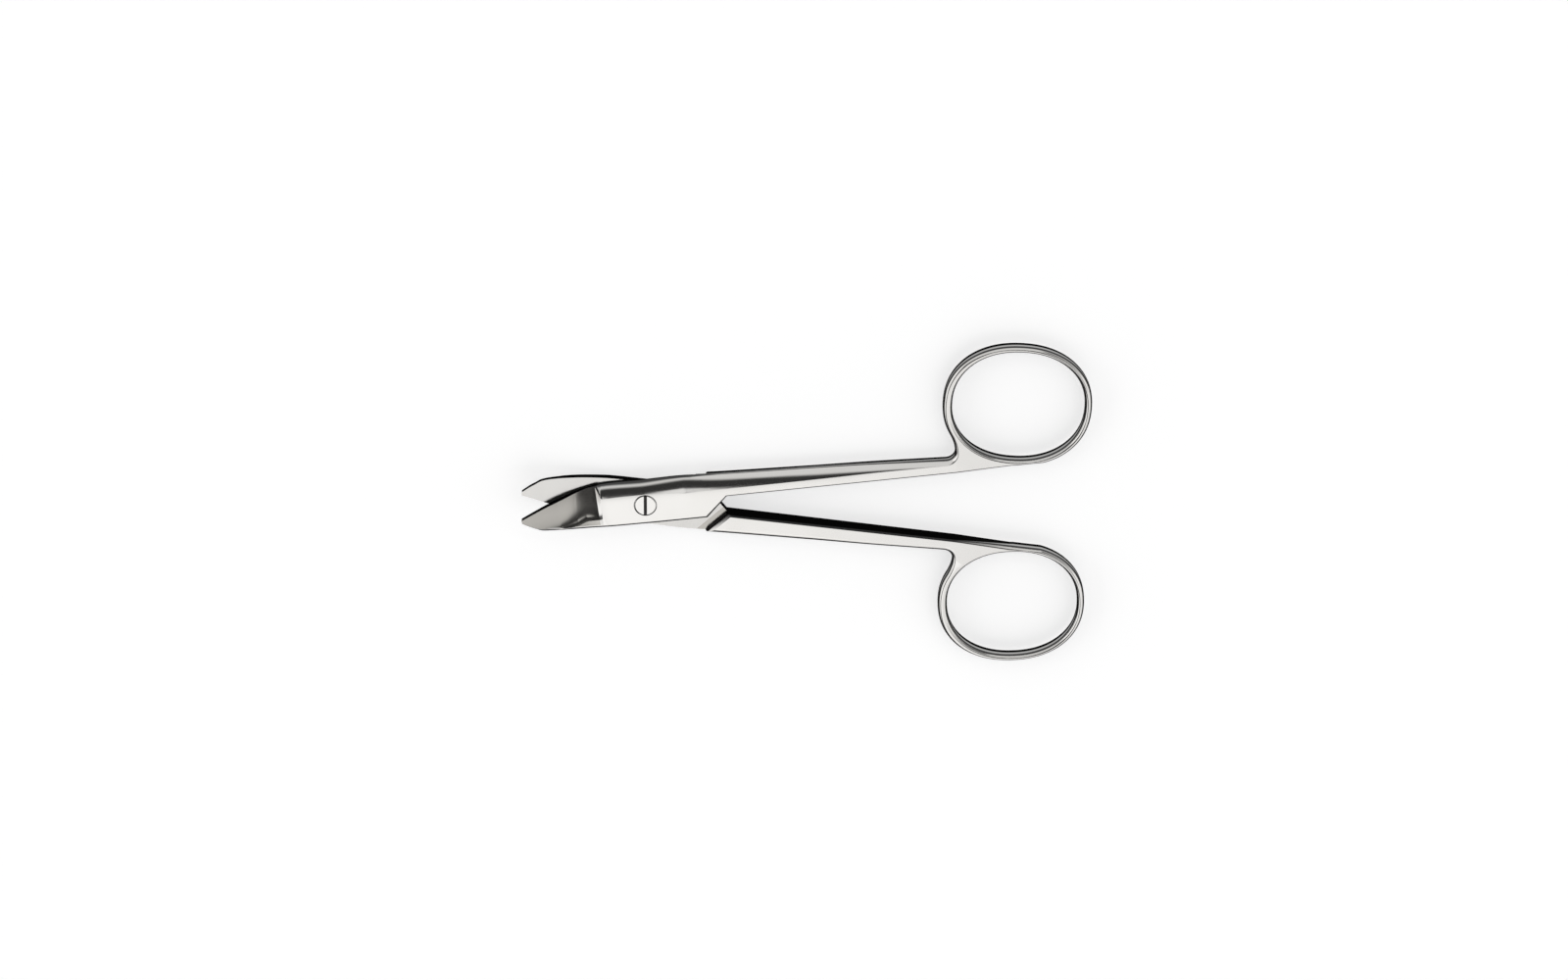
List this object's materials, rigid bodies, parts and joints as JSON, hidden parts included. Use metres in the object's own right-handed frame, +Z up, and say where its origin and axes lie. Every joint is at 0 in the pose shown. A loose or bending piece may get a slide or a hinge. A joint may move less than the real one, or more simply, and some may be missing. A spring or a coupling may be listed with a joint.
{
  "type": "crown scissors",
  "caption": "Dental crown scissors lying open: short blades curved upwards, slim shanks, oval finger rings and a slotted countersunk pivot screw.",
  "frame": {"origin": "on the pivot axis, in the plane of the joint's back, where the screw ends flush with it", "axes": "+X from the pivot towards the finger rings, halfway between the shanks; +Z up, along the pivot axis, out of the screw's slotted head; the blades point along -X and curve towards +Z"},
  "size_m": [0.1078, 0.0672, 0.0059],
  "materials": {
    "polished_steel": "polished stainless steel with a satin grain",
    "screw_steel": "bright turned stainless steel"
  },
  "bodies": {
    "lower_half": {"threaded_half": "polished_steel", "pivot_screw": "screw_steel"},
    "upper_half": {"screw_side_half": "polished_steel"}
  },
  "joints": [
    {"name": "pivot", "type": "hinge", "parent": "lower_half", "child": "upper_half", "pos_m": [0, 0, 0.0019], "axis": [0, 0, 1], "range_deg": [-13.6, 120]}
  ]
}
